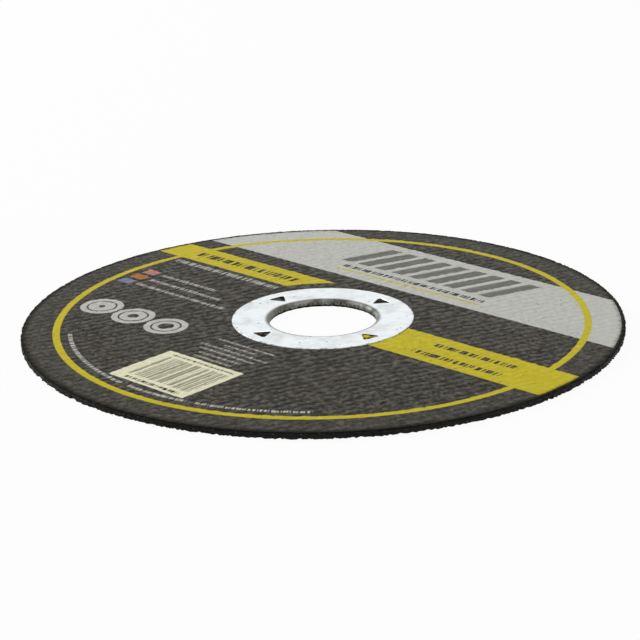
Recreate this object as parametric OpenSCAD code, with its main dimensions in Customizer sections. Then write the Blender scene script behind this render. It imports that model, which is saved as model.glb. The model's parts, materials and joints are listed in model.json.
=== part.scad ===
// Flat cut off wheel for a small angle grinder, lying on its back face.
// The Z axis is the arbor axis, and z = 0 is the back face. The label reads along +X.

/* [Abrasive disc] */
// Outside diameter of the wheel
wheel_d = 125; // [100:1:180]
// Thickness of the bonded abrasive, glass strands included
body_t = 1.2; // [1:0.1:3]
// Diameter of the finished arbor bore, inside the steel ring
bore_d = 22.23; // [16:0.01:25.4]

/* [Glass reinforcement] */
// Spacing of the glass strands that are pressed into both faces
strand_pitch = 2.05; // [1.5:0.05:5]
// Height of the bare strands on the back face
strand_h = 0.09; // [0.04:0.01:0.15]
// Height of the ripples that the strands press into the label
ripple_h = 0.06; // [0.02:0.01:0.12]
// Share of the pitch that is flat on a strand's crest, and again in the valley beside it
flat_share = 0.3; // [0.1:0.05:0.4]
// Direction of the ripples in the label; the strands on the back cross them
ripple_angle = 69; // [0:1:180]

/* [Label] */
// Thickness of the printed paper label
label_t = 0.1; // [0.06:0.01:0.2]
// Width of bare abrasive left outside the label at the rim
label_margin = 0.2; // [0.1:0.1:3]
// How far the ring presses the label in, below the valleys of its ripples
press_in = 0.02; // [0.01:0.01:0.04]

/* [Steel ring] */
// Thickness of the steel sheet
sheet_t = 0.25; // [0.15:0.05:0.4]
// Width of the ring, from the bore to its outer edge
ring_w = 7.8; // [6:0.1:12]
// Outside radius of the roll from the flange into the collar
roll_r = 0.8; // [0.6:0.05:1]
// Radius of the edge round on the flange's rim
edge_r = 0.1; // [0.05:0.01:0.14]
// Distance from the end of the collar to the back face
collar_gap = 0.4; // [0.05:0.05:0.4]
// Number of torn teeth round the end of the collar
torn_teeth = 36; // [12:1:60]
// Deepest tear in the end of the collar
torn_h = 0.2; // [0.05:0.01:0.2]

/* [Pierced windows] */
// Number of three-sided windows pierced through the flange
window_count = 4; // [3:1:6]
// Side of a window, measured as if its corners were sharp
window_side = 4.1; // [3:0.1:4.4]
// Radius of a window's corners
window_corner = 0.45; // [0.2:0.05:0.6]
// Depth of the dished edge round a window
window_dish = 0.12; // [0.05:0.01:0.14]
// Direction of the first window
window_angle = -10; // [-90:1:90]
// How far the pierced steel is clenched down into the wheel
petal_h = 0.7; // [0.3:0.05:0.85]

/* [Clearances] */
// Gap between the ring and what it is set into
seat_gap = 0.05; // [0.02:0.01:0.1]

/* [Hidden] */
$fn = 96;

wheel_r = wheel_d / 2;
bore_r = bore_d / 2;
label_r = wheel_r - label_margin;
ring_r = bore_r + ring_w;
label_seat_z = body_t;
valley_z = label_seat_z + label_t;
ring_seat_z = valley_z - press_in;
ring_top_z = ring_seat_z + sheet_t;
roll_centre_r = bore_r + roll_r;
roll_centre_z = ring_top_z - roll_r;
// Windows sit in the middle of the flange's flat, with one corner towards the bore
window_pitch_r = (roll_centre_r + ring_r) / 2;
window_point_r = window_side / sqrt(3);
window_flat_r = window_point_r / 2;
window_flat_w = window_side - 2 * sqrt(3) * window_corner;
// Radial reach of a cutter that has to pass right through the collar's wall
tear_reach = sheet_t + 2 * seat_gap;
// Height of a cutter that has to pass right through the wheel
through_h = 2 * ring_top_z;

// One trapezoidal wave per strand, from one side of the wheel to the other
function strand_wave(crest_z, valley_z) =
    let (
        half_count = ceil(wheel_r / strand_pitch) + 1,
        half_flat = flat_share / 2,
        shape = [[-half_flat, crest_z], [half_flat, crest_z],
                 [0.5 - half_flat, valley_z], [0.5 + half_flat, valley_z]]
    )
    [for (i = [-half_count : half_count])
        for (corner = shape)
            [(i + corner[0]) * strand_pitch, corner[1]]];

// A slab across the whole wheel with one plain face and one face of straight strands
module stranded_slab(plain_z, crest_z, valley_z, angle) {
    wave = strand_wave(crest_z, valley_z);
    first = wave[0];
    last = wave[len(wave) - 1];
    rotate([0, 0, angle - 90])
        rotate([90, 0, 0])
            linear_extrude(height = 2 * wheel_d, center = true)
                polygon(concat([[last[0], plain_z], [first[0], plain_z]], wave));
}

// Half section of the disc, with its bore eased to clear the ring's collar and roll
module disc_section() {
    difference() {
        square([wheel_r, body_t]);
        translate([0, -body_t])
            square([bore_r + sheet_t + seat_gap, 3 * body_t]);
        difference() {
            translate([0, roll_centre_z])
                square([roll_centre_r, body_t]);
            translate([roll_centre_r, roll_centre_z])
                circle(r = roll_r - sheet_t - seat_gap);
        }
    }
}

// Places its children at each window, with X pointing away from the bore
module at_windows() {
    for (i = [0 : window_count - 1])
        rotate([0, 0, window_angle + i * 360 / window_count])
            translate([window_pitch_r, 0, 0])
                children();
}

// The clenched steel along the three sides of one window, or its slots where grow is above 0
module petals(grow = 0) {
    half_side = window_flat_w / 2 - seat_gap + grow;
    for (i = [0 : 2])
        rotate([0, 0, i * 120])
            translate([window_flat_r + seat_gap - grow, 0, ring_seat_z])
                rotate([90, 0, 90])
                    linear_extrude(height = sheet_t + 2 * grow)
                        polygon([[-half_side, sheet_t / 2], [half_side, sheet_t / 2], [0, -petal_h - grow]]);
}

// Bonded abrasive with the strands of the glass cloth standing out of its back
module abrasive_disc() {
    color([0.11, 0.1, 0.09])
        difference() {
            intersection() {
                rotate_extrude()
                    disc_section();
                stranded_slab(body_t, 0, strand_h, ripple_angle + 90);
            }
            at_windows()
                petals(seat_gap);
        }
}

// Printed paper, rippled by the strands beneath it and pressed flat under the ring
module paper_label() {
    color([0.28, 0.27, 0.25])
        difference() {
            intersection() {
                cylinder(r = label_r, h = through_h);
                stranded_slab(label_seat_z, valley_z + ripple_h, valley_z, ripple_angle);
            }
            translate([0, 0, ring_seat_z])
                cylinder(r = ring_r + seat_gap, h = through_h);
            cylinder(r = roll_centre_r, h = through_h);
            at_windows()
                petals(seat_gap);
        }
}

// Half section of the stamped ring: flange, roll and collar in one sheet
module ring_section() {
    translate([roll_centre_r, ring_seat_z])
        square([ring_r - edge_r - roll_centre_r, sheet_t]);
    translate([roll_centre_r, ring_seat_z])
        square([ring_r - roll_centre_r, sheet_t - edge_r]);
    translate([ring_r - edge_r, ring_top_z - edge_r])
        circle(r = edge_r);
    translate([bore_r, collar_gap])
        square([sheet_t, roll_centre_z - collar_gap]);
    translate([roll_centre_r, roll_centre_z])
        intersection() {
            difference() {
                circle(r = roll_r);
                circle(r = roll_r - sheet_t);
            }
            translate([-roll_r, 0])
                square(roll_r);
        }
}

// Uneven V-shaped tears round the end of the collar
module collar_tears() {
    tear_w = 2 * PI * bore_r / torn_teeth;
    for (i = [0 : torn_teeth - 1]) {
        depth = torn_h * (0.35 + 0.65 * abs(sin(i * 137.5)));
        rotate([0, 0, i * 360 / torn_teeth])
            translate([bore_r - seat_gap, 0, collar_gap])
                rotate([90, 0, 90])
                    linear_extrude(height = tear_reach)
                        polygon([[-tear_w * 0.3, -seat_gap], [tear_w * 0.3, -seat_gap], [0, depth]]);
    }
}

// Outline of one window: three flats with a blunt corner between them, one corner towards the bore
module window_outline() {
    centre_r = window_point_r - 2 * window_corner;
    polygon([for (bearing = [60, 180, 300], turn = [-60 : 30 : 60])
        centre_r * [cos(bearing), sin(bearing)]
            + window_corner * [cos(bearing + turn), sin(bearing + turn)]]);
}

// One window with its dished edge
module window_cut() {
    linear_extrude(height = through_h)
        window_outline();
    translate([0, 0, ring_top_z - window_dish])
        linear_extrude(height = 2 * window_dish, scale = 1 + 4 * window_dish / window_point_r)
            window_outline();
}

// Stamped steel ring that lines the bore and is clenched through its windows
module arbor_ring() {
    color([0.86, 0.88, 0.88])
        difference() {
            union() {
                rotate_extrude()
                    ring_section();
                at_windows()
                    petals();
            }
            at_windows()
                window_cut();
            collar_tears();
        }
}

abrasive_disc();
paper_label();
arbor_ring();
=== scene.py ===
"""Dresses a packed cut off wheel: rippled printed label, woven gritty disc and scuffed steel ring."""
import json
import math

import bmesh
import bpy
from bpy.props import FloatProperty, FloatVectorProperty, PointerProperty
from mathutils import Matrix, Vector, noise


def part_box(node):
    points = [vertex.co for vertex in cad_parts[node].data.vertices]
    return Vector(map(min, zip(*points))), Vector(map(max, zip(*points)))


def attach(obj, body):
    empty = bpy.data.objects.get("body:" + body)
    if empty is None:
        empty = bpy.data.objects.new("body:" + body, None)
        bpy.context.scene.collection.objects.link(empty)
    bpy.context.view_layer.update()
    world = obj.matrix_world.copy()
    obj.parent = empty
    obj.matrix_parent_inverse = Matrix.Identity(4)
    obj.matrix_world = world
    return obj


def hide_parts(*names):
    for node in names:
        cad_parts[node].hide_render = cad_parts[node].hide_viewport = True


bl_info = {
    "name": "Cut off wheel",
    "version": (1, 0, 0),
    "blender": (4, 5, 0),
    "location": "View3D > Sidebar > Wheel",
    "description": "Builds a flat cut off wheel with its label, arbor ring and studio stage",
    "category": "Object",
}

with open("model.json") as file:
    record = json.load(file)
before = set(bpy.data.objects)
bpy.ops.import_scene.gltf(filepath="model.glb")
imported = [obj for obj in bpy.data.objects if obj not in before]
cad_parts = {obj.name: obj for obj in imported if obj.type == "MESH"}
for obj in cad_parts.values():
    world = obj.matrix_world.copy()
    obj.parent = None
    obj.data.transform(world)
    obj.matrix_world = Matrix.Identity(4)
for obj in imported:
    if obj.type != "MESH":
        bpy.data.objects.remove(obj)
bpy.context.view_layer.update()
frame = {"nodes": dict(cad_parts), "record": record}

MM = 0.001
# An edge that turns by more than this is shaded sharp.
SHARP_ANGLE = math.radians(50.0)
# Any seed but 0, which Blender takes from the clock.
NOISE_SEED = 7

# Sizes of the solids, in metres.
DISC_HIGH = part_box("abrasive_disc")[1]
LABEL_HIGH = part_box("paper_label")[1]
RING_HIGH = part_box("arbor_ring")[1]
WHEEL_R = DISC_HIGH[0]
BODY_T = DISC_HIGH[2]
LABEL_R = LABEL_HIGH[0]
RING_R = RING_HIGH[0]
RING_TOP = RING_HIGH[2]
SHEET_T = 0.25 * MM
ROLL_R = 0.8 * MM
SEAT_GAP = 0.05 * MM
PRESS_IN = 0.02 * MM
BORE_R = next(m["dims"]["r_mm"] for m in frame["record"]["mounts"] if m["name"] == "bore") * MM

# The paper lies flat under the ring, pressed in below the valleys of its ripples.
LABEL_HOLE_R = BORE_R + ROLL_R
LABEL_SEAT_R = RING_R + SEAT_GAP
LABEL_SEAT_Z = RING_TOP - SHEET_T
LABEL_VALLEY_Z = LABEL_SEAT_Z + PRESS_IN
LABEL_CELL = 0.37 * MM
# The paper is crumpled in larger lumps round the ring, and lies calmer towards the rim.
CRUMPLED_R = 48.0 * MM
CRUMPLED_FADE = 22.0 * MM
CALM_R = 50.0 * MM
CALM_FADE = 8.0 * MM
CALM_SHARE = 0.45
# Each vertex keeps its relief, from 0 in a valley to 1 on a crest: the mean, and the value under the ring.
MEAN_RELIEF = 0.36
PRESSED_RELIEF = 0.5
# Share of the ripples that runs along the strands, and how the knuckles of the weave break them up.
ALONG_SHARE = 0.85
KNUCKLE_CONTRAST = 1.3
KNUCKLE_LEAST = 0.15

# Strands on the back of the disc: mesh cells for each, sharpness, and how far the gaps between them sink.
STRAND_CELLS = 5
STRAND_SHARPNESS = 1.5
SINK_MEAN = 0.8
SINK_SPREAD = 0.4
# Wander of the strands: waves per metre, reach in millimetres.
STRAND_WANDER = ((110.0, 0.35), (330.0, 0.45))
# Share of a mesh cell that is kept clear inside an edge before the edge is snapped round.
EDGE_MARGIN = 0.3

# Broken grain of the disc's rim, from its foot to the shoulder under the paper.
RIM_FOOT = 0.03 * MM
RIM_LEVELS = tuple(BODY_T * row / 6 for row in range(2, 6))
RIM_WOBBLE = 0.08 * MM
SHOULDER_DROP = 0.05 * MM
SHOULDER_ROWS = 3
SHOULDER_STEP = 0.4 * MM
SHOULDER_PITS = 0.06 * MM
# The hidden top of the disc, just under the paper.
COVERED_DROP = 0.02 * MM
# Rough grain of the bore below the steel collar, and the plain hole behind the collar and its roll.
MOUTH_R = BORE_R + 0.1 * MM
MOUTH_LEAST_R = BORE_R + 0.05 * MM
MOUTH_ROUGH = 0.4 * MM
MOUTH_LEVELS = (0.1 * MM, 0.2 * MM, 0.3 * MM)
COLLAR_SEAT_Z = 0.38 * MM
DISC_HOLE_R = BORE_R + SHEET_T + SEAT_GAP
ROLL_HOLE_R = DISC_HOLE_R + 0.3 * MM

# Waves per metre of the noise behind each kind of unevenness.
KNUCKLE_WAVES = 850.0
FINE_PILLOW_WAVES = 700.0
BROAD_PILLOW_WAVES = 450.0
TORN_PAPER_WAVES = 700.0
CHIP_WAVES = 900.0
GRAIN_WAVES = 2600.0
BROKEN_CORNER_WAVES = 800.0
SINK_WAVES = 300.0
RIM_WOBBLE_WAVES = 2000.0
SHOULDER_WAVES = 1500.0
MOUTH_WAVES = 1400.0

# Grit and dirt that shows where the paper is pierced or worn away, and in the torn end of the collar;
# inside the ring's windows it is also painted shade.
SOOT_AND_SHADE = (0.011, 0.0105, 0.0085)
# Pale grains scattered through the dark grit.
PALE_GRAIN = (0.085, 0.08, 0.068)

# Printed fields of the label, in millimetres from the arbor axis: left, right, low, high.
GREY_BAND = (-63.0, 63.0, 23.4, 46.9)
LEFT_BAND = (-63.0, 0.0, 10.2, 18.35)
RIGHT_BAND = (12.0, 61.4, -6.2, 6.35)
YELLOW_RULE = (-20.5, 19.5, 26.4, 27.0)
CREAM_CARD = (-10.25, 10.4, -50.3, -33.7)
CARD_BARS = (-8.0, 9.0, -47.4, -36.4)
CARD_BARS_PER_MM = 1.3
CARD_BAR_INK = 0.65
# Width over which an ink fades at its edge.
INK_EDGE = 0.15
AXIS = (0.0, 0.0)
# The left band ends at an arc about the axis.
LEFT_BAND_ARC_R = 22.6
# Inner and outer radius of the yellow ring, which is printed a little off the axis.
YELLOW_RING = (54.15, 55.65)
YELLOW_RING_MIDDLE = (0.05, -0.35)
# The inks stop short of the rim, in a dark border.
BORDER_R = 61.5
BEYOND_RIM = 2 * BORDER_R
# Across place of each pale roundel, with the radius of the plain dot in its thin ring.
ROUNDELS = ((-41.5, 0.7), (-31.7, 1.2), (-21.7, 1.7))
ROUNDEL_R = 4.65
ROUNDEL_V = -24.3
ROUNDEL_LINE = (2.9, 3.3)
# Inner radius that makes a ring of ink a full disc.
NO_HOLE = -1.0
# Small plain chips of colour, one below the other.
CHIP_SPAN = (-52.0, -48.3)
CHIP_H = 2.6
CHIP_ROWS = (-1.9, -5.6, -9.2)
CHIP_INKS = ((0.47, 0.22, 0.19), (0.44, 0.17, 0.035), (0.2, 0.22, 0.32))
# Plain slanted bars across the grey band: left and right at their feet, low, high, pitch, slant.
SLANT_BARS = (-24.2, 18.8, 31.7, 44.0, 4.9, 0.36)
# Half of a slanted bar's width, as a share of the pitch.
SLANT_BAR_HALF = 0.33

# Rows of plain blocks: left, right, middle, height, mean block length.
DARK_ROWS = (
    (-53.0, -21.0, 14.3, 2.4, 1.0),
    (28.0, 49.5, 2.35, 1.7, 0.8),
    (27.0, 49.5, -2.75, 1.7, 0.8),
    (-20.5, 19.5, 28.9, 1.5, 0.7),
    (-8.0, 9.0, -35.1, 0.6, 0.4),
    (-7.0, 8.0, -49.0, 0.9, 0.5),
)
PALE_ROWS = (
    (-52.5, -21.0, 7.9, 1.7, 0.7),
    (-47.0, -30.0, -1.9, 1.1, 0.5),
    (-47.0, -25.0, -5.6, 1.1, 0.5),
    (-47.0, -20.0, -9.2, 1.1, 0.5),
    (-7.7, 8.3, -22.7, 0.7, 0.4),
    (-4.2, 4.8, -24.6, 0.7, 0.4),
    (-9.2, 9.8, -26.6, 0.7, 0.4),
    (-7.4, 8.0, -28.5, 0.7, 0.4),
    (-5.4, 6.0, -30.5, 0.7, 0.4),
    (-4.9, 5.5, -32.4, 0.7, 0.4),
)
# Strength of the ink in the small pale rows.
PALE_ROW_INK = 0.75
# Moves the blocks of each row along by its place, so that no two rows are alike.
ROW_SHIFT = 7.3
# Rows of blocks that follow the rim: first angle, last angle in degrees from +X.
RIM_ROW_R = 52.3
RIM_ROW_H = 0.9
RIM_ROW_BLOCK = 0.45
RIM_ROWS = ((-130.0, -95.0), (-92.7, -76.7), (-74.3, -49.2))

# Camera and stage.
PHOTO_SIDE_PX = 640
SENSOR_W = 36.0
CLIP_START = 0.01
# Soft square lamps: name, setting of the power, side, place as seen from the camera's side in metres.
LAMPS = (
    ("key_lamp", "key_power", 0.5, (-0.85, 0.5, 0.45)),
    ("fill_lamp", "fill_power", 0.8, (0.35, -0.5, 0.9)),
)
FLOOR_HALF_SIDE = 3.0
FLOOR_CELLS = 8
FLOOR_DROP = 0.02 * MM
FLOOR_SHADES = ((0.86, 0.86, 0.86), (0.9, 0.9, 0.9))
# Share of the floor's look that is plain white; the rest takes the shadow.
FLOOR_WHITE = 0.94
WHITE = (1.0, 1.0, 1.0)


class WheelLabelSettings(bpy.types.PropertyGroup):
    """Sizes and inks of the printed label"""

    pitch: FloatProperty(
        name="Strand pitch", description="Spacing of the glass strands under the paper",
        default=2.05 * MM, unit="LENGTH", precision=5)
    angle: FloatProperty(
        name="Ripple direction", description="Direction of the strands that show most",
        default=math.radians(69.4), subtype="ANGLE")
    ripple: FloatProperty(
        name="Ripple height", description="Height of the ripples in the paper",
        default=0.093 * MM, unit="LENGTH", precision=5)
    lump: FloatProperty(
        name="Lump height", description="Height of the uneven lumps of grain under the paper",
        default=0.125 * MM, unit="LENGTH", precision=5)
    ragged: FloatProperty(
        name="Torn edge", description="How far the edge of the paper is torn back",
        default=0.25 * MM, unit="LENGTH", precision=5)
    dark: FloatVectorProperty(
        name="Dark ink", description="Ground of the label", subtype="COLOR",
        default=(0.058, 0.0555, 0.045))
    grey: FloatVectorProperty(
        name="Grey ink", description="Wide band across the top of the label", subtype="COLOR",
        default=(0.555, 0.565, 0.515))
    yellow: FloatVectorProperty(
        name="Yellow ink", description="Bands and ring", subtype="COLOR",
        default=(0.60, 0.50, 0.018))
    cream: FloatVectorProperty(
        name="Cream ink", description="Card at the foot of the label", subtype="COLOR",
        default=(0.84, 0.82, 0.585))
    pale: FloatVectorProperty(
        name="Pale ink", description="Roundels and small rows of blocks", subtype="COLOR",
        default=(0.56, 0.55, 0.51))
    rust: FloatVectorProperty(
        name="Rusty dust", description="Brown dust rubbed into the dark ink", subtype="COLOR",
        default=(0.068, 0.054, 0.040))
    slate: FloatVectorProperty(
        name="Slate ink", description="Slanted bars on the grey band", subtype="COLOR",
        default=(0.165, 0.168, 0.152))


class WheelDiscSettings(bpy.types.PropertyGroup):
    """Sizes and colours of the bonded abrasive"""

    strand: FloatProperty(
        name="Strand height", description="Height of the bare strands on the back",
        default=0.085 * MM, unit="LENGTH", precision=5)
    chipped: FloatProperty(
        name="Chipped rim", description="Deepest loss of grain at the rim",
        default=0.9 * MM, unit="LENGTH", precision=5)
    broken: FloatProperty(
        name="Broken corner", description="How far up the rim's lower corner is broken away",
        default=0.35 * MM, unit="LENGTH", precision=5)
    grit: FloatVectorProperty(
        name="Grit", description="Abrasive in dark resin", subtype="COLOR",
        default=(0.0042, 0.0039, 0.0032))
    glass: FloatVectorProperty(
        name="Glass cloth", description="Resin-soaked strands on the back", subtype="COLOR",
        default=(0.075, 0.066, 0.048))


class WheelRingSettings(bpy.types.PropertyGroup):
    """Finish of the stamped steel ring"""

    zinc: FloatVectorProperty(
        name="Zinc", description="Bright coating of the steel", subtype="COLOR",
        default=(0.835, 0.885, 0.90))
    tarnish: FloatVectorProperty(
        name="Tarnish", description="Dull smudges and scuffs", subtype="COLOR",
        default=(0.56, 0.585, 0.575))
    # Painted shade of the bore, laid on the roll of the sheet as a colour.
    roll_shade: FloatVectorProperty(
        name="Dull roll", description="Stretched coating where the sheet rolls into the bore",
        subtype="COLOR", default=(0.082, 0.080, 0.058))
    burr: FloatVectorProperty(
        name="Bright burrs", description="Torn bright bits at the end of the collar", subtype="COLOR",
        default=(0.25, 0.24, 0.205))
    # Real dirt at the outer edge and in flecks; the same colour is also painted shade in the dishes of the
    # windows.
    dirt: FloatVectorProperty(
        name="Dirt", description="Dirt at the edges of the ring and of its windows", subtype="COLOR",
        default=(0.06, 0.058, 0.049))


class WheelStageSettings(bpy.types.PropertyGroup):
    """Camera and light of the studio stage"""

    distance: FloatProperty(
        name="Camera distance", description="From the middle of the back face",
        default=0.4483, unit="LENGTH")
    azimuth: FloatProperty(
        name="Camera azimuth", description="Turn of the camera about the arbor axis",
        default=math.radians(43.4), subtype="ANGLE")
    elevation: FloatProperty(
        name="Camera elevation", description="Height of the camera above the floor",
        default=math.radians(19.59), subtype="ANGLE")
    roll: FloatProperty(
        name="Camera roll", description="Tilt of the camera about its own axis",
        default=math.radians(1.41), subtype="ANGLE")
    focal_px: FloatProperty(
        name="Focal length", description="In pixels of the square picture", default=2155.1)
    shift_px: FloatVectorProperty(
        name="Camera shift", description="In pixels of the square picture", size=2, default=(-3.0, 4.0))
    key_power: FloatProperty(
        name="Key lamp", description="Soft lamp behind and to the left", default=8.0, unit="POWER")
    fill_power: FloatProperty(
        name="Fill lamp", description="Soft lamp above the camera", default=3.0, unit="POWER")
    sky: FloatProperty(name="Room light", description="Even light of the room", default=0.38)


class ShaderGraph:
    """Adds nodes to one shader tree and joins them up."""

    def __init__(self, tree):
        self.tree = tree

    def add(self, kind, inputs=None, **settings):
        """A new node, with its settings and its inputs filled from values or sockets."""
        node = self.tree.nodes.new(kind)
        for name, value in settings.items():
            setattr(node, name, value)
        for name, value in (inputs or {}).items():
            self.feed(node.inputs[name], value)
        return node

    def feed(self, socket, value):
        """Links value to socket if it is a socket, and otherwise sets it."""
        if isinstance(value, bpy.types.NodeSocket):
            self.tree.links.new(value, socket)
        elif socket.type == "RGBA":
            socket.default_value = (*value[:3], 1.0)
        else:
            socket.default_value = value

    def math(self, operation, *values, clamp=False):
        """Output of a Math node."""
        node = self.add("ShaderNodeMath", operation=operation, use_clamp=clamp)
        for socket, value in zip(node.inputs, values):
            self.feed(socket, value)
        return node.outputs[0]

    def times(self, first, second):
        """Product of two values."""
        return self.math("MULTIPLY", first, second)

    def linear(self, value, gain, base, clamp=False):
        """Value times gain, plus base."""
        return self.math("MULTIPLY_ADD", value, gain, base, clamp=clamp)

    def step(self, value, edge, width):
        """0 below edge and 1 above it, with a soft change of that width."""
        inputs = {"Value": value, "From Min": edge - width / 2, "From Max": edge + width / 2}
        return self.add("ShaderNodeMapRange", inputs, clamp=True).outputs[0]

    def below(self, value, edge, width):
        """1 below edge and 0 above it, with a soft change of that width."""
        return self.step(self.times(value, -1.0), -edge, width)

    def vector(self, operation, first, second=None, scale=None):
        """Vector output of a Vector Math node."""
        node = self.add("ShaderNodeVectorMath", operation=operation)
        self.feed(node.inputs[0], first)
        if second is not None:
            self.feed(node.inputs[1], second)
        if scale is not None:
            self.feed(node.inputs["Scale"], scale)
        return node.outputs["Vector"]

    def split(self, vector):
        """X, Y and Z of a vector."""
        return self.add("ShaderNodeSeparateXYZ", {"Vector": vector}).outputs

    def flat_vector(self, across, up):
        """A vector in the plane of the label."""
        return self.add("ShaderNodeCombineXYZ", {"X": across, "Y": up}).outputs[0]

    def millimetres(self):
        """Object position in millimetres."""
        place = self.add("ShaderNodeTexCoord").outputs["Object"]
        return self.vector("SCALE", place, scale=1 / MM)

    def radius(self, place):
        """Distance of a place from the Z axis."""
        across, up, _ = self.split(place)
        return self.math("SQRT", self.math("ADD", self.times(across, across), self.times(up, up)))

    def noise(self, place, scale, detail=2.0, roughness=0.5):
        """Value of a Noise texture at a place in millimetres."""
        inputs = {"Vector": place, "Scale": scale, "Detail": detail, "Roughness": roughness}
        return self.add("ShaderNodeTexNoise", inputs).outputs["Fac"]

    def line_noise(self, run, scale, detail):
        """Value of a Noise texture along a line."""
        inputs = {"W": run, "Scale": scale, "Detail": detail}
        return self.add("ShaderNodeTexNoise", inputs, noise_dimensions="1D").outputs["Fac"]

    def wander(self, place, scale, detail, reach):
        """The place, moved about by a noise by up to half of reach each way."""
        drift = self.add("ShaderNodeTexNoise", {"Vector": place, "Scale": scale, "Detail": detail})
        shift = self.vector("SUBTRACT", drift.outputs["Color"], (0.5, 0.5, 0.5))
        return self.vector("ADD", place, self.vector("SCALE", shift, scale=reach))

    def mix(self, mask, low, high):
        """Colour low where mask is 0, and high where it is 1."""
        node = self.add("ShaderNodeMix", data_type="RGBA")
        self.feed(node.inputs[0], mask)
        self.feed(node.inputs[6], low)
        self.feed(node.inputs[7], high)
        return node.outputs[2]

    def group(self, tree, **inputs):
        """A placed node group, with its inputs filled by name."""
        node = self.add("ShaderNodeGroup", node_tree=tree)
        for name, value in inputs.items():
            self.feed(node.inputs[name.replace("_", " ")], value)
        return node


def new_group(name, inputs, outputs):
    """An empty shader node group. Returns its tree, graph, input sockets and output sockets."""
    tree = bpy.data.node_groups.new(name, "ShaderNodeTree")
    for label, kind in inputs:
        tree.interface.new_socket(label, in_out="INPUT", socket_type=kind)
    for label, kind in outputs:
        tree.interface.new_socket(label, in_out="OUTPUT", socket_type=kind)
    graph = ShaderGraph(tree)
    entry = graph.add("NodeGroupInput").outputs
    leave = graph.add("NodeGroupOutput").inputs
    return tree, graph, entry, leave


def shared_group(name, build):
    """The node group of that name, built on first use."""
    return bpy.data.node_groups.get(name) or build(name)


def build_cloth_group(name):
    """Crests of two crossed sets of strands, each from 0 in a gap to 1 on a strand."""
    tree, g, entry, leave = new_group(
        name,
        (("Position", "NodeSocketVector"), ("Pitch", "NodeSocketFloat"), ("Angle", "NodeSocketFloat")),
        (("Along", "NodeSocketFloat"), ("Across", "NodeSocketFloat")))
    place = g.wander(entry["Position"], scale=0.12, detail=1.0, reach=0.7)
    back = g.times(entry["Angle"], -1.0)
    turn = g.add("ShaderNodeVectorRotate", {"Vector": place, "Angle": back}, rotation_type="Z_AXIS")
    along, across, _ = g.split(turn.outputs["Vector"])
    for label, value in (("Along", across), ("Across", along)):
        phase = g.times(g.math("DIVIDE", value, entry["Pitch"]), math.tau)
        g.feed(leave[label], g.linear(g.math("COSINE", phase), 0.5, 0.5))
    return tree


def build_grit_group(name):
    """Grain of an abrasive or of dust: a rough height, and a mask of scattered flecks."""
    grains = "Grains per mm"
    tree, g, entry, leave = new_group(
        name,
        (("Position", "NodeSocketVector"), (grains, "NodeSocketFloat"), ("Flecks", "NodeSocketFloat")),
        (("Height", "NodeSocketFloat"), ("Fleck", "NodeSocketFloat")))
    rough = g.noise(entry["Position"], entry[grains], 4.0, 0.65)
    cells = g.add("ShaderNodeTexVoronoi", {"Vector": entry["Position"], "Scale": entry[grains]})
    chance = g.split(cells.outputs["Color"])[0]
    picked = g.math("LESS_THAN", chance, entry["Flecks"])
    core = g.math("LESS_THAN", cells.outputs["Distance"], 0.38)
    g.feed(leave["Height"], g.linear(cells.outputs["Distance"], -0.6, rough))
    g.feed(leave["Fleck"], g.times(picked, core))
    return tree


def place_grit(g, place, grains_per_mm, flecks):
    """Outputs of the grit group, placed in a material with its own grain and share of flecks."""
    tree = shared_group("Grit", build_grit_group)
    return g.group(tree, Position=place, Grains_per_mm=grains_per_mm, Flecks=flecks).outputs


def soft_inside(g, distances):
    """1 where every distance to an edge, in millimetres, is above zero."""
    nearest = distances[0]
    for distance in distances[1:]:
        nearest = g.math("MINIMUM", nearest, distance)
    return g.linear(nearest, 1 / INK_EDGE, 0.5, clamp=True)


def build_panel_group(name):
    """Mask of an upright rectangle of ink."""
    sides = ("Left", "Right", "Low", "High")
    tree, g, entry, leave = new_group(
        name, (("Position", "NodeSocketVector"), *((side, "NodeSocketFloat") for side in sides)),
        (("Ink", "NodeSocketFloat"),))
    across, up, _ = g.split(entry["Position"])
    g.feed(leave["Ink"], soft_inside(g, (
        g.math("SUBTRACT", across, entry["Left"]), g.math("SUBTRACT", entry["Right"], across),
        g.math("SUBTRACT", up, entry["Low"]), g.math("SUBTRACT", entry["High"], up))))
    return tree


def build_round_group(name):
    """Mask of a ring of ink, or of a disc where Inner is below zero."""
    tree, g, entry, leave = new_group(
        name, (("Position", "NodeSocketVector"), ("Middle", "NodeSocketVector"),
               ("Inner", "NodeSocketFloat"), ("Outer", "NodeSocketFloat")),
        (("Ink", "NodeSocketFloat"),))
    radius = g.radius(g.vector("SUBTRACT", entry["Position"], entry["Middle"]))
    g.feed(leave["Ink"], soft_inside(g, (
        g.math("SUBTRACT", radius, entry["Inner"]), g.math("SUBTRACT", entry["Outer"], radius))))
    return tree


def build_blocks_group(name):
    """Mask of a row of plain blocks of uneven length."""
    tree, g, entry, leave = new_group(
        name, (("Position", "NodeSocketVector"), ("Left", "NodeSocketFloat"), ("Right", "NodeSocketFloat"),
               ("Middle", "NodeSocketFloat"), ("Height", "NodeSocketFloat"), ("Block", "NodeSocketFloat")),
        (("Ink", "NodeSocketFloat"),))
    half = g.times(entry["Height"], 0.5)
    low = g.math("SUBTRACT", entry["Middle"], half)
    high = g.math("ADD", entry["Middle"], half)
    panel = g.group(shared_group("Ink panel", build_panel_group), Position=entry["Position"],
                    Left=entry["Left"], Right=entry["Right"], Low=low, High=high)
    across = g.split(entry["Position"])[0]
    run = g.math("ADD", g.math("DIVIDE", across, entry["Block"]), g.times(entry["Middle"], ROW_SHIFT))
    blocks = g.step(g.line_noise(run, 1.0, 0.0), 0.47, 0.06)
    g.feed(leave["Ink"], g.times(panel.outputs["Ink"], blocks))
    return tree


def new_material(name):
    """A material with its graph and its Principled shader, ready to be wired."""
    material = bpy.data.materials.new(name)
    material.use_nodes = True
    graph = ShaderGraph(material.node_tree)
    shader = material.node_tree.nodes["Principled BSDF"]
    return material, graph, shader


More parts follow.
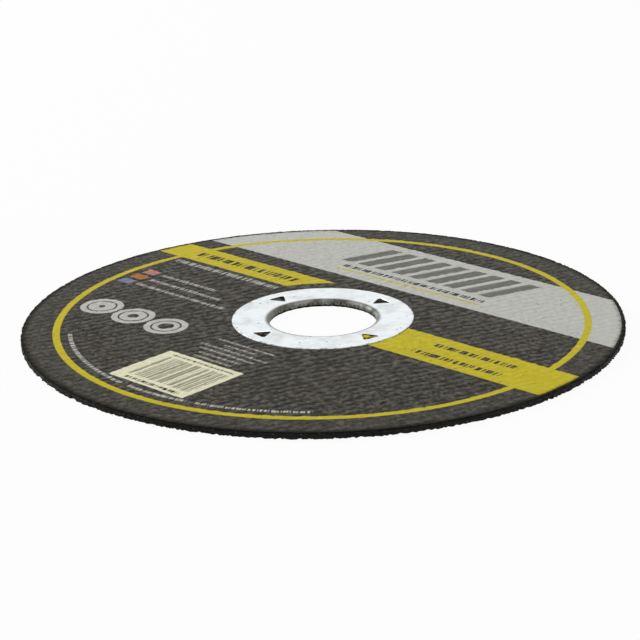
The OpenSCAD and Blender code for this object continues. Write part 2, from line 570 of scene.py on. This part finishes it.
def add_bump(g, shader, height, strength, distance):
    """Fine relief that is too small to model."""
    bump = g.add("ShaderNodeBump", {"Height": height, "Strength": strength, "Distance": distance})
    g.feed(shader.inputs["Normal"], bump.outputs["Normal"])


def print_label(g, place, inks):
    """Colour of the printed label at a place in millimetres: plain fields, bars, blocks and dots."""
    panel = shared_group("Ink panel", build_panel_group)
    ring = shared_group("Ink round", build_round_group)
    blocks = shared_group("Ink blocks", build_blocks_group)

    def panel_ink(sides, at=place):
        """Mask of a rectangle."""
        left, right, low, high = sides
        return g.group(panel, Position=at, Left=left, Right=right, Low=low, High=high).outputs["Ink"]

    def round_ink(middle, inner, outer):
        """Mask of a ring or a disc."""
        return g.group(ring, Position=place, Middle=(*middle, 0.0), Inner=inner, Outer=outer).outputs["Ink"]

    def row_ink(row, at=place):
        """Mask of a row of blocks."""
        left, right, middle, height, block = row
        return g.group(blocks, Position=at, Left=left, Right=right, Middle=middle, Height=height,
                       Block=block).outputs["Ink"]

    across, up, _ = g.split(place)
    colour = g.mix(panel_ink(GREY_BAND), inks.dark, inks.grey)
    beyond_arc = round_ink(AXIS, LEFT_BAND_ARC_R, BEYOND_RIM)
    colour = g.mix(g.times(panel_ink(LEFT_BAND), beyond_arc), colour, inks.yellow)
    colour = g.mix(panel_ink(RIGHT_BAND), colour, inks.yellow)

    left, right, low, high, pitch, slant = SLANT_BARS
    sheared = g.math("SUBTRACT", across, g.times(g.math("SUBTRACT", up, low), slant))
    saw = g.math("ABSOLUTE", g.math("SUBTRACT", g.math("FRACT", g.math("DIVIDE", sheared, pitch)), 0.5))
    bar_span = panel_ink((left, right, low, high), g.flat_vector(sheared, up))
    colour = g.mix(g.times(g.below(saw, SLANT_BAR_HALF, 0.02), bar_span), colour, inks.slate)

    for roundel_u, dot_r in ROUNDELS:
        middle = (roundel_u, ROUNDEL_V)
        colour = g.mix(round_ink(middle, NO_HOLE, ROUNDEL_R), colour, inks.pale)
        colour = g.mix(round_ink(middle, NO_HOLE, dot_r), colour, inks.dark)
        colour = g.mix(round_ink(middle, *ROUNDEL_LINE), colour, inks.dark)
    for middle, ink in zip(CHIP_ROWS, CHIP_INKS):
        colour = g.mix(panel_ink((*CHIP_SPAN, middle - CHIP_H / 2, middle + CHIP_H / 2)), colour, ink)

    colour = g.mix(panel_ink(CREAM_CARD), colour, inks.cream)
    uneven = g.step(g.line_noise(across, CARD_BARS_PER_MM, 2.0), 0.485, 0.08)
    card_bars = g.times(panel_ink(CARD_BARS), uneven)
    colour = g.mix(g.times(card_bars, CARD_BAR_INK), colour, inks.dark)
    colour = g.mix(panel_ink(YELLOW_RULE), colour, inks.yellow)
    for row in DARK_ROWS:
        colour = g.mix(row_ink(row), colour, inks.dark)
    for row in PALE_ROWS:
        colour = g.mix(g.times(row_ink(row), PALE_ROW_INK), colour, inks.pale)

    arc_run = g.times(g.math("ARCTAN2", up, across), RIM_ROW_R)
    rim_place = g.flat_vector(arc_run, g.radius(place))
    for first, last in RIM_ROWS:
        ends = (math.radians(first) * RIM_ROW_R, math.radians(last) * RIM_ROW_R)
        colour = g.mix(row_ink((*ends, RIM_ROW_R, RIM_ROW_H, RIM_ROW_BLOCK), rim_place), colour, inks.pale)
    colour = g.mix(round_ink(YELLOW_RING_MIDDLE, *YELLOW_RING), colour, inks.yellow)
    return g.mix(round_ink(AXIS, BORDER_R, BEYOND_RIM), colour, inks.dark)


def label_material(settings):
    """Printed paper: plain inks that bleed a little, with painted shade in the creases and painted
    highlights on the crests, dusted with grit.
    """
    material, g, shader = new_material("printed_paper")
    place = g.millimetres()
    radius = g.radius(place)
    colour = print_label(g, g.wander(place, scale=1.6, detail=3.0, reach=0.22), settings)

    mottle = g.noise(place, 0.35, 4.0, 0.6)
    grain = g.step(g.noise(place, 1.15, 4.0, 0.65), 0.5, 0.26)
    lightness = g.add("ShaderNodeRGBToBW", {"Color": colour}).outputs[0]
    on_dark = g.below(lightness, 0.12, 0.1)
    rusty = g.times(on_dark, g.step(mottle, 0.52, 0.2))
    colour = g.mix(g.times(rusty, 0.4), colour, settings.rust)
    flecks = place_grit(g, place, 1.5, 0.035)["Fleck"]
    colour = g.mix(g.times(flecks, 0.35), colour, SOOT_AND_SHADE)
    # Inside the ring's windows: patches of bare grit where the paper is pierced, which also stand for
    # painted shade in those recesses.
    in_windows = g.below(radius, RING_R / MM, 0.2)
    pierced = g.times(in_windows, g.step(g.noise(place, 0.55, 2.0), 0.53, 0.06))
    frayed = g.step(g.linear(grain, 0.7, radius), BORDER_R + 0.4, 1.7)
    bare = g.math("MAXIMUM", frayed, pierced)
    colour = g.mix(bare, colour, SOOT_AND_SHADE)

    relief = g.add("ShaderNodeAttribute", attribute_name="relief").outputs["Fac"]
    crest = g.step(relief, MEAN_RELIEF, 0.4)
    # Dark ink: strong painted shade in the creases and painted highlights on the crests, times the paper's
    # grain.
    rubbed = g.times(g.linear(crest, 1.4, 0.3), g.linear(grain, 0.8, 0.6))
    # Pale inks: the same painted shade and highlights, but faint, times the grain.
    plain = g.times(g.linear(crest, 0.14, 0.915), g.linear(grain, 0.07, 0.965))
    crease_shade_and_grain = g.linear(on_dark, g.math("SUBTRACT", rubbed, plain), plain)
    g.feed(shader.inputs["Base Color"], g.vector("SCALE", colour, scale=crease_shade_and_grain))
    gloss = g.linear(mottle, 0.25, 0.2)
    g.feed(shader.inputs["Roughness"], g.linear(bare, 0.6, gloss, clamp=True))
    shader.inputs["Specular IOR Level"].default_value = 0.02
    pits = g.math("SUBTRACT", g.noise(place, 1.1, 5.0, 0.65), 0.5)
    add_bump(g, shader, g.times(pits, g.linear(on_dark, 0.7, 0.3)), 1.0, 0.3 * MM)
    return material


def disc_material(settings, label):
    """Dark grit at the rim, and resin-soaked glass cloth on the back."""
    material, g, shader = new_material("bonded_abrasive")
    place = g.millimetres()
    grit = place_grit(g, place, 2.2, 0.1)
    cloth = g.group(shared_group("Glass cloth", build_cloth_group), Position=place,
                    Pitch=label.pitch / MM, Angle=label.angle).outputs
    strand = g.step(g.math("MAXIMUM", cloth["Along"], cloth["Across"]), 0.72, 0.35)
    on_back = g.below(g.split(place)[2], 0.14, 0.06)
    fibre = g.noise(place, 0.8, 5.0, 0.7)
    strand = g.times(g.times(strand, on_back), g.step(fibre, 0.42, 0.3))
    colour = g.mix(strand, settings.grit, settings.glass)
    colour = g.mix(g.times(grit["Fleck"], 0.6), colour, PALE_GRAIN)
    g.feed(shader.inputs["Base Color"], colour)
    g.feed(shader.inputs["Roughness"], g.linear(grit["Height"], 0.35, 0.5))
    shader.inputs["Specular IOR Level"].default_value = 0.15
    add_bump(g, shader, grit["Height"], 0.8, 0.15 * MM)
    return material


def ring_material(settings):
    """Bright zinc on steel, smudged and lightly scratched, with painted shade on the roll in the bore and
    in the dishes of the windows, and dirty at its edges.
    """
    material, g, shader = new_material("zinc_steel")
    bore_r = BORE_R / MM
    rolled_r = bore_r + ROLL_R / MM
    ring_r = RING_R / MM
    top_z = RING_TOP / MM
    place = g.millimetres()
    radius = g.radius(place)
    height = g.split(place)[2]

    smudge = g.step(g.noise(place, 0.24, 5.0, 0.65), 0.55, 0.2)
    streaks = g.add("ShaderNodeMapping", {
        "Vector": place, "Rotation": (0.0, 0.0, 0.6), "Scale": (0.35, 5.0, 1.0)}).outputs["Vector"]
    scratch = g.step(g.noise(streaks, 0.8, 3.0, 0.7), 0.64, 0.05)
    worn = g.math("ADD", g.times(smudge, 0.65), g.times(scratch, 0.4), clamp=True)
    worn = g.math("MAXIMUM", worn, g.times(g.step(radius, ring_r - 0.1, 0.1), 0.8))
    colour = g.mix(worn, settings.zinc, settings.tarnish)

    # Painted shade in the bore, on the roll; the higher roughness there is the roll's real rougher finish.
    roll_shade_and_roughness = g.times(g.below(radius, bore_r + 0.85, 0.7), g.linear(smudge, 0.15, 0.85))
    colour = g.mix(roll_shade_and_roughness, colour, settings.roll_shade)
    drawn = g.add("ShaderNodeMapping", {"Vector": place, "Scale": (1.0, 1.0, 0.6)}).outputs["Vector"]
    burr = g.noise(drawn, 2.2, 4.0, 0.7)
    collar_end = g.times(g.below(height, 0.95, 0.5), g.below(radius, bore_r + 0.4, 0.3))
    colour = g.mix(g.times(collar_end, g.step(burr, 0.58, 0.16)), colour, settings.burr)
    colour = g.mix(g.times(collar_end, g.below(burr, 0.45, 0.12)), colour, SOOT_AND_SHADE)

    # Painted shade on the sunk dishes round the windows, in the colour of the dirt.
    dish_shade = g.below(height, top_z - 0.07, 0.05)
    on_flange = g.times(g.step(radius, rolled_r + 0.2, 0.1), g.below(radius, ring_r - 0.3, 0.1))
    colour = g.mix(g.times(dish_shade, on_flange), colour, settings.dirt)
    patchy = g.step(g.noise(place, 0.9, 4.0, 0.65), 0.55, 0.12)
    grime = g.times(g.step(radius, ring_r - 0.25, 0.4), patchy)
    colour = g.mix(g.times(grime, 0.7), colour, settings.dirt)
    flecks = place_grit(g, place, 1.3, 0.03)["Fleck"]
    colour = g.mix(g.times(flecks, 0.6), colour, settings.dirt)

    g.feed(shader.inputs["Base Color"], colour)
    shader.inputs["Metallic"].default_value = 1.0
    satin = g.linear(worn, 0.2, 0.3)
    g.feed(shader.inputs["Roughness"], g.linear(roll_shade_and_roughness, 0.3, satin, clamp=True))
    add_bump(g, shader, g.noise(place, 0.9, 4.0, 0.6), 0.15, 0.08 * MM)
    return material


def limited(value):
    """The value, kept between 0 and 1."""
    return min(1.0, max(0.0, value))


def polar(point, radius, height):
    """The point in the same direction from the axis, at that radius and height."""
    flat = Vector((point.x, point.y, 0.0)).normalized() * radius
    return Vector((flat.x, flat.y, height))


def lumps(point, waves, finer=2.1, share=0.5):
    """Uneven lumps about zero, with finer ones of a share of their height."""
    return noise.noise(point * waves) + share * noise.noise(point * waves * finer)


def pillows(point, waves, finer=1.9, height=1.4):
    """Soft lumps with sharp creases between them, from 0 upwards, and finer ones of half the height."""
    return height * abs(noise.noise(point * waves)) + height / 2 * abs(noise.noise(point * waves * finer))


def rim_radius(point, height, depth):
    """Radius of the rim at a point and height, with up to that depth of grain lost from it."""
    whole = polar(point, WHEEL_R, 0.0)
    spot = Vector((whole.x, whole.y, height))
    loss = 0.5 * abs(lumps(spot, CHIP_WAVES)) + 0.5 * abs(noise.noise(spot * GRAIN_WAVES))
    return WHEEL_R - depth * min(1.0, loss)


def strand_heights(label, point):
    """Crest of the strands along and across the ripples at a point, each from 0 to 1."""
    drift = Vector()
    for waves, reach in STRAND_WANDER:
        drift += noise.noise_vector(point * waves) * reach * MM
    place = point + drift
    along = place.x * math.cos(label.angle) + place.y * math.sin(label.angle)
    across = place.y * math.cos(label.angle) - place.x * math.sin(label.angle)
    turns = math.tau / label.pitch
    return 0.5 + 0.5 * math.cos(across * turns), 0.5 + 0.5 * math.cos(along * turns)


def rim_points(edges):
    """The vertices of a loop of edges."""
    return {vert for edge in edges for vert in edge.verts}


def strand_lattice(label, cell, low_r, high_r):
    """A flat square lattice in line with the strands, cut to an annulus and snapped to its edges."""
    noise.seed_set(NOISE_SEED)
    bm = bmesh.new()
    count = 2 * math.ceil(high_r / cell)
    bmesh.ops.create_grid(bm, x_segments=count, y_segments=count, size=count * cell / 2)
    margin = cell * EDGE_MARGIN
    outside = [v for v in bm.verts if not low_r + margin < v.co.xy.length < high_r - margin]
    bmesh.ops.delete(bm, geom=outside, context="VERTS")
    loose = [v for v in bm.verts if not v.link_faces]
    bmesh.ops.delete(bm, geom=loose, context="VERTS")
    bmesh.ops.rotate(bm, verts=bm.verts, cent=(0, 0, 0), matrix=Matrix.Rotation(label.angle, 3, "Z"))
    middle_r = (low_r + high_r) / 2
    rims = {"inner": [], "outer": []}
    for edge in bm.edges:
        if edge.is_boundary:
            side = "inner" if edge.verts[0].co.xy.length < middle_r else "outer"
            rims[side].append(edge)
    for side, radius in (("inner", low_r), ("outer", high_r)):
        for vert in rim_points(rims[side]):
            vert.co.xy *= radius / vert.co.xy.length
    return bm, rims


def extrude_rim(bm, edges, place):
    """Grows a closed loop of edges by one row and puts each new vertex where place says."""
    made = bmesh.ops.extrude_edge_only(bm, edges=edges)["geom"]
    for vert in (item for item in made if isinstance(item, bmesh.types.BMVert)):
        vert.co = place(vert.co)
    return [item for item in made if isinstance(item, bmesh.types.BMEdge)]


def finish_piece(bm, name, material, node):
    """Turns the mesh into a shown piece that stands for a CAD node."""
    bmesh.ops.recalc_face_normals(bm, faces=bm.faces)
    for edge in bm.edges:
        edge.smooth = len(edge.link_faces) == 2 and edge.calc_face_angle() < SHARP_ANGLE
    mesh = bpy.data.meshes.new(name)
    bm.to_mesh(mesh)
    bm.free()
    for polygon in mesh.polygons:
        polygon.use_smooth = True
    mesh.materials.append(material)
    piece = bpy.data.objects.new(name, mesh)
    bpy.context.scene.collection.objects.link(piece)
    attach(piece, "root")
    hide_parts(node)


class WHEEL_OT_label(bpy.types.Operator):
    """Builds the printed paper label, rippled by the strands beneath it"""

    bl_idname = "wheel.label"
    bl_label = "Printed label"

    def execute(self, context):
        settings = context.scene.wheel_label
        bm, rims = strand_lattice(settings, LABEL_CELL, LABEL_HOLE_R, LABEL_R)
        self.raise_relief(bm, settings)
        self.tear_edge(rims["outer"], settings, context.scene.wheel_disc)
        edges = []
        for side in ("inner", "outer"):
            edges += extrude_rim(bm, rims[side], lambda co: Vector((co.x, co.y, BODY_T)))
        bmesh.ops.triangle_fill(bm, use_beauty=True, edges=edges)
        finish_piece(bm, "rippled_label", label_material(settings), "paper_label")
        return {"FINISHED"}

    def raise_relief(self, bm, settings):
        """Ripples and crumples the paper outside the ring, and keeps how high each vertex stands."""
        relief = bm.verts.layers.float.new("relief")
        for vert in bm.verts:
            radius = vert.co.xy.length
            if radius < LABEL_SEAT_R:
                vert.co.z = LABEL_SEAT_Z
                vert[relief] = PRESSED_RELIEF
                continue
            point = Vector((vert.co.x, vert.co.y, 0.0))
            along, across = strand_heights(settings, point)
            knuckle = limited(0.5 + KNUCKLE_CONTRAST * noise.noise(point * KNUCKLE_WAVES))
            ripple = ALONG_SHARE * along + (1.0 - ALONG_SHARE) * across
            ripple *= KNUCKLE_LEAST + (1.0 - KNUCKLE_LEAST) * knuckle
            near = limited((CRUMPLED_R - radius) / CRUMPLED_FADE)
            fine = pillows(point, FINE_PILLOW_WAVES)
            broad = pillows(point, BROAD_PILLOW_WAVES)
            lump = min(1.0, fine * (1.0 - near) + broad * near)
            calm = 1.0 - CALM_SHARE * limited((radius - CALM_R) / CALM_FADE)
            vert.co.z = LABEL_VALLEY_Z + calm * (settings.ripple * ripple + settings.lump * lump)
            vert[relief] = MEAN_RELIEF + calm * ((ripple + lump) / 2 - MEAN_RELIEF)

    def tear_edge(self, edges, settings, disc):
        """Tears the paper back from its edge, and from wherever the rim below it has lost grain."""
        for vert in rim_points(edges):
            torn = settings.ragged * abs(lumps(vert.co.xy.to_3d(), TORN_PAPER_WAVES))
            edge_r = min(LABEL_R, rim_radius(vert.co, BODY_T, disc.chipped))
            vert.co.xy *= (edge_r - torn) / vert.co.xy.length


class WHEEL_OT_disc(bpy.types.Operator):
    """Builds the abrasive disc with its woven back and its broken grainy rim"""

    bl_idname = "wheel.disc"
    bl_label = "Abrasive disc"

    def execute(self, context):
        settings = context.scene.wheel_disc
        label = context.scene.wheel_label
        bm, rims = strand_lattice(label, label.pitch / STRAND_CELLS, MOUTH_R, WHEEL_R)
        self.sink_gaps(bm, settings, label)
        top = self.grow_rim(bm, rims["outer"], settings)
        wall = self.grow_bore(bm, rims["inner"])
        bmesh.ops.triangle_fill(bm, use_beauty=True, edges=top + wall)
        finish_piece(bm, "gritty_disc", disc_material(settings, label), "abrasive_disc")
        return {"FINISHED"}

    def sink_gaps(self, bm, settings, label):
        """Sinks the gaps between the strands into the back face."""
        for vert in bm.verts:
            point = Vector((vert.co.x, vert.co.y, 0.0))
            crest = max(strand_heights(label, point)) ** STRAND_SHARPNESS
            uneven = SINK_MEAN + SINK_SPREAD * noise.noise(point * SINK_WAVES)
            vert.co.z = max(0.0, settings.strand * (1.0 - crest) * uneven)

    def grow_rim(self, bm, edges, settings):
        """Grows the broken rim from the back up to the shoulder under the paper. Returns its last edges."""
        def chipped(co, height):
            """A point of the rim at that height, with grain lost from it."""
            return polar(co, rim_radius(co, height, settings.chipped), height)

        def pitted(co):
            """A point one step further in on the shoulder, with grain lost from it."""
            pit = SHOULDER_PITS * abs(noise.noise(co * SHOULDER_WAVES))
            return polar(co, co.xy.length - SHOULDER_STEP, BODY_T - pit)

        for vert in rim_points(edges):
            lift = settings.broken * abs(lumps(vert.co.xy.to_3d(), BROKEN_CORNER_WAVES))
            vert.co = chipped(vert.co, max(RIM_FOOT, vert.co.z) + lift)
        for level in RIM_LEVELS:
            edges = extrude_rim(bm, edges, lambda co: chipped(
                co, level + RIM_WOBBLE * noise.noise(co * RIM_WOBBLE_WAVES)))
        edges = extrude_rim(bm, edges, lambda co: chipped(co, BODY_T - SHOULDER_DROP))
        for _ in range(SHOULDER_ROWS):
            edges = extrude_rim(bm, edges, pitted)
        return extrude_rim(bm, edges, lambda co: polar(
            co, co.xy.length - SHOULDER_STEP, BODY_T - COVERED_DROP))

    def grow_bore(self, bm, edges):
        """Grows the bore: rough grain below the collar, then the plain hole. Returns its last edges."""
        def rough(co, level):
            """A point of the rough wall at that level."""
            bump = MOUTH_ROUGH * abs(noise.noise(Vector((co.x, co.y, level)) * MOUTH_WAVES))
            return polar(co, MOUTH_LEAST_R + bump, level)

        for level in MOUTH_LEVELS:
            edges = extrude_rim(bm, edges, lambda co: rough(co, level))
        edges = extrude_rim(bm, edges, lambda co: polar(co, DISC_HOLE_R, COLLAR_SEAT_Z))
        return extrude_rim(bm, edges, lambda co: polar(co, ROLL_HOLE_R, BODY_T - COVERED_DROP))


class WHEEL_OT_ring(bpy.types.Operator):
    """Gives the stamped steel ring its zinc finish"""

    bl_idname = "wheel.ring"
    bl_label = "Arbor ring"

    def execute(self, context):
        ring = frame["nodes"]["arbor_ring"]
        ring.data.materials.clear()
        ring.data.materials.append(ring_material(context.scene.wheel_ring))
        return {"FINISHED"}


def aim(thing, place, target):
    """Puts a lamp at place and turns it to face target."""
    thing.location = place
    thing.rotation_euler = (Vector(target) - Vector(place)).to_track_quat("-Z", "Y").to_euler()


class WHEEL_OT_stage(bpy.types.Operator):
    """Sets up the white floor, the soft lamps, the room light and the camera"""

    bl_idname = "wheel.stage"
    bl_label = "Stage"

    def execute(self, context):
        settings = context.scene.wheel_stage
        scene = context.scene
        scene.view_settings.view_transform = "Standard"
        self.add_camera(scene, settings)
        self.add_lamps(scene, settings)
        self.add_floor(scene)
        self.add_room(scene, settings)
        return {"FINISHED"}

    def add_camera(self, scene, settings):
        """Camera at the photograph's angle, level with the floor apart from its roll."""
        turn, lift = settings.azimuth, settings.elevation
        back = Vector((math.sin(turn) * math.cos(lift), -math.cos(turn) * math.cos(lift), math.sin(lift)))
        right = Vector((math.cos(turn), math.sin(turn), 0.0))
        up = back.cross(right)
        pose = Matrix((right, up, back)).transposed() @ Matrix.Rotation(-settings.roll, 3, "Z")
        data = bpy.data.cameras.new("photo_camera")
        data.sensor_width = SENSOR_W
        data.lens = settings.focal_px / PHOTO_SIDE_PX * SENSOR_W
        data.shift_x, data.shift_y = (pixels / PHOTO_SIDE_PX for pixels in settings.shift_px)
        data.clip_start = CLIP_START
        camera = bpy.data.objects.new("photo_camera", data)
        camera.matrix_world = Matrix.Translation(back * settings.distance) @ pose.to_4x4()
        scene.collection.objects.link(camera)
        scene.camera = camera

    def add_lamps(self, scene, settings):
        """Soft square lamps, placed from the camera's side."""
        turn = Matrix.Rotation(settings.azimuth, 3, "Z")
        for name, power, side, place in LAMPS:
            data = bpy.data.lights.new(name, "AREA")
            data.energy = getattr(settings, power)
            data.size = side
            lamp = bpy.data.objects.new(name, data)
            aim(lamp, turn @ Vector(place), (0.0, 0.0, 0.0))
            scene.collection.objects.link(lamp)

    def seen_directly(self, g):
        """1 for rays from the camera and for those mirrored or passed on to it."""
        path = g.add("ShaderNodeLightPath").outputs
        seen = g.math("MAXIMUM", path["Is Camera Ray"], path["Is Glossy Ray"])
        return g.math("MAXIMUM", seen, path["Is Transmission Ray"])

    def add_floor(self, scene):
        """White floor that still takes the wheel's shadow."""
        material, g, shader = new_material("white_floor")
        grain = g.noise(g.add("ShaderNodeTexCoord").outputs["Object"], 40.0, 2.0)
        g.feed(shader.inputs["Base Color"], g.mix(grain, *FLOOR_SHADES))
        shader.inputs["Roughness"].default_value = 0.9
        shader.inputs["Specular IOR Level"].default_value = 0.0
        glow = g.add("ShaderNodeEmission", {"Color": WHITE, "Strength": 1.0})
        blend = g.add("ShaderNodeMixShader")
        g.feed(blend.inputs[0], g.times(self.seen_directly(g), FLOOR_WHITE))
        g.feed(blend.inputs[1], shader.outputs[0])
        g.feed(blend.inputs[2], glow.outputs[0])
        g.feed(material.node_tree.nodes["Material Output"].inputs["Surface"], blend.outputs[0])
        bm = bmesh.new()
        bmesh.ops.create_grid(bm, x_segments=FLOOR_CELLS, y_segments=FLOOR_CELLS, size=FLOOR_HALF_SIDE)
        mesh = bpy.data.meshes.new("floor")
        bm.to_mesh(mesh)
        bm.free()
        mesh.materials.append(material)
        floor = bpy.data.objects.new("floor", mesh)
        floor.location.z = -FLOOR_DROP
        scene.collection.objects.link(floor)

    def add_room(self, scene, settings):
        """Even room light, white where it is seen."""
        world = bpy.data.worlds.new("studio_room")
        world.use_nodes = True
        g = ShaderGraph(world.node_tree)
        background = world.node_tree.nodes["Background"]
        g.feed(background.inputs["Color"], WHITE)
        strength = g.linear(self.seen_directly(g), 1.0 - settings.sky, settings.sky)
        g.feed(background.inputs["Strength"], strength)
        scene.world = world


OPERATORS = (WHEEL_OT_stage, WHEEL_OT_disc, WHEEL_OT_label, WHEEL_OT_ring)
# Settings of each operator, in the same order.
SETTINGS = {
    "wheel_stage": WheelStageSettings,
    "wheel_disc": WheelDiscSettings,
    "wheel_label": WheelLabelSettings,
    "wheel_ring": WheelRingSettings,
}


class WHEEL_PT_sidebar(bpy.types.Panel):
    """Lists the wheel's pieces and their settings"""

    bl_idname = "WHEEL_PT_sidebar"
    bl_label = "Cut off wheel"
    bl_space_type = "VIEW_3D"
    bl_region_type = "UI"
    bl_category = "Wheel"

    def draw(self, context):
        for operator, settings in zip(OPERATORS, SETTINGS):
            box = self.layout.box()
            box.operator(operator.bl_idname)
            group = getattr(context.scene, settings)
            for name in group.__annotations__:
                box.prop(group, name)


CLASSES = (*SETTINGS.values(), *OPERATORS, WHEEL_PT_sidebar)


def register():
    """Makes the settings, operators and panel known to Blender."""
    for cls in CLASSES:
        bpy.utils.register_class(cls)
    for name, cls in SETTINGS.items():
        setattr(bpy.types.Scene, name, PointerProperty(type=cls))


def unregister():
    """Takes the settings, operators and panel away again."""
    for name in SETTINGS:
        delattr(bpy.types.Scene, name)
    for cls in reversed(CLASSES):
        bpy.utils.unregister_class(cls)


def main():
    """Builds the stage and every piece."""
    register()
    bpy.ops.wheel.stage()
    bpy.ops.wheel.disc()
    bpy.ops.wheel.label()
    bpy.ops.wheel.ring()


if __name__ == "__main__":
    main()
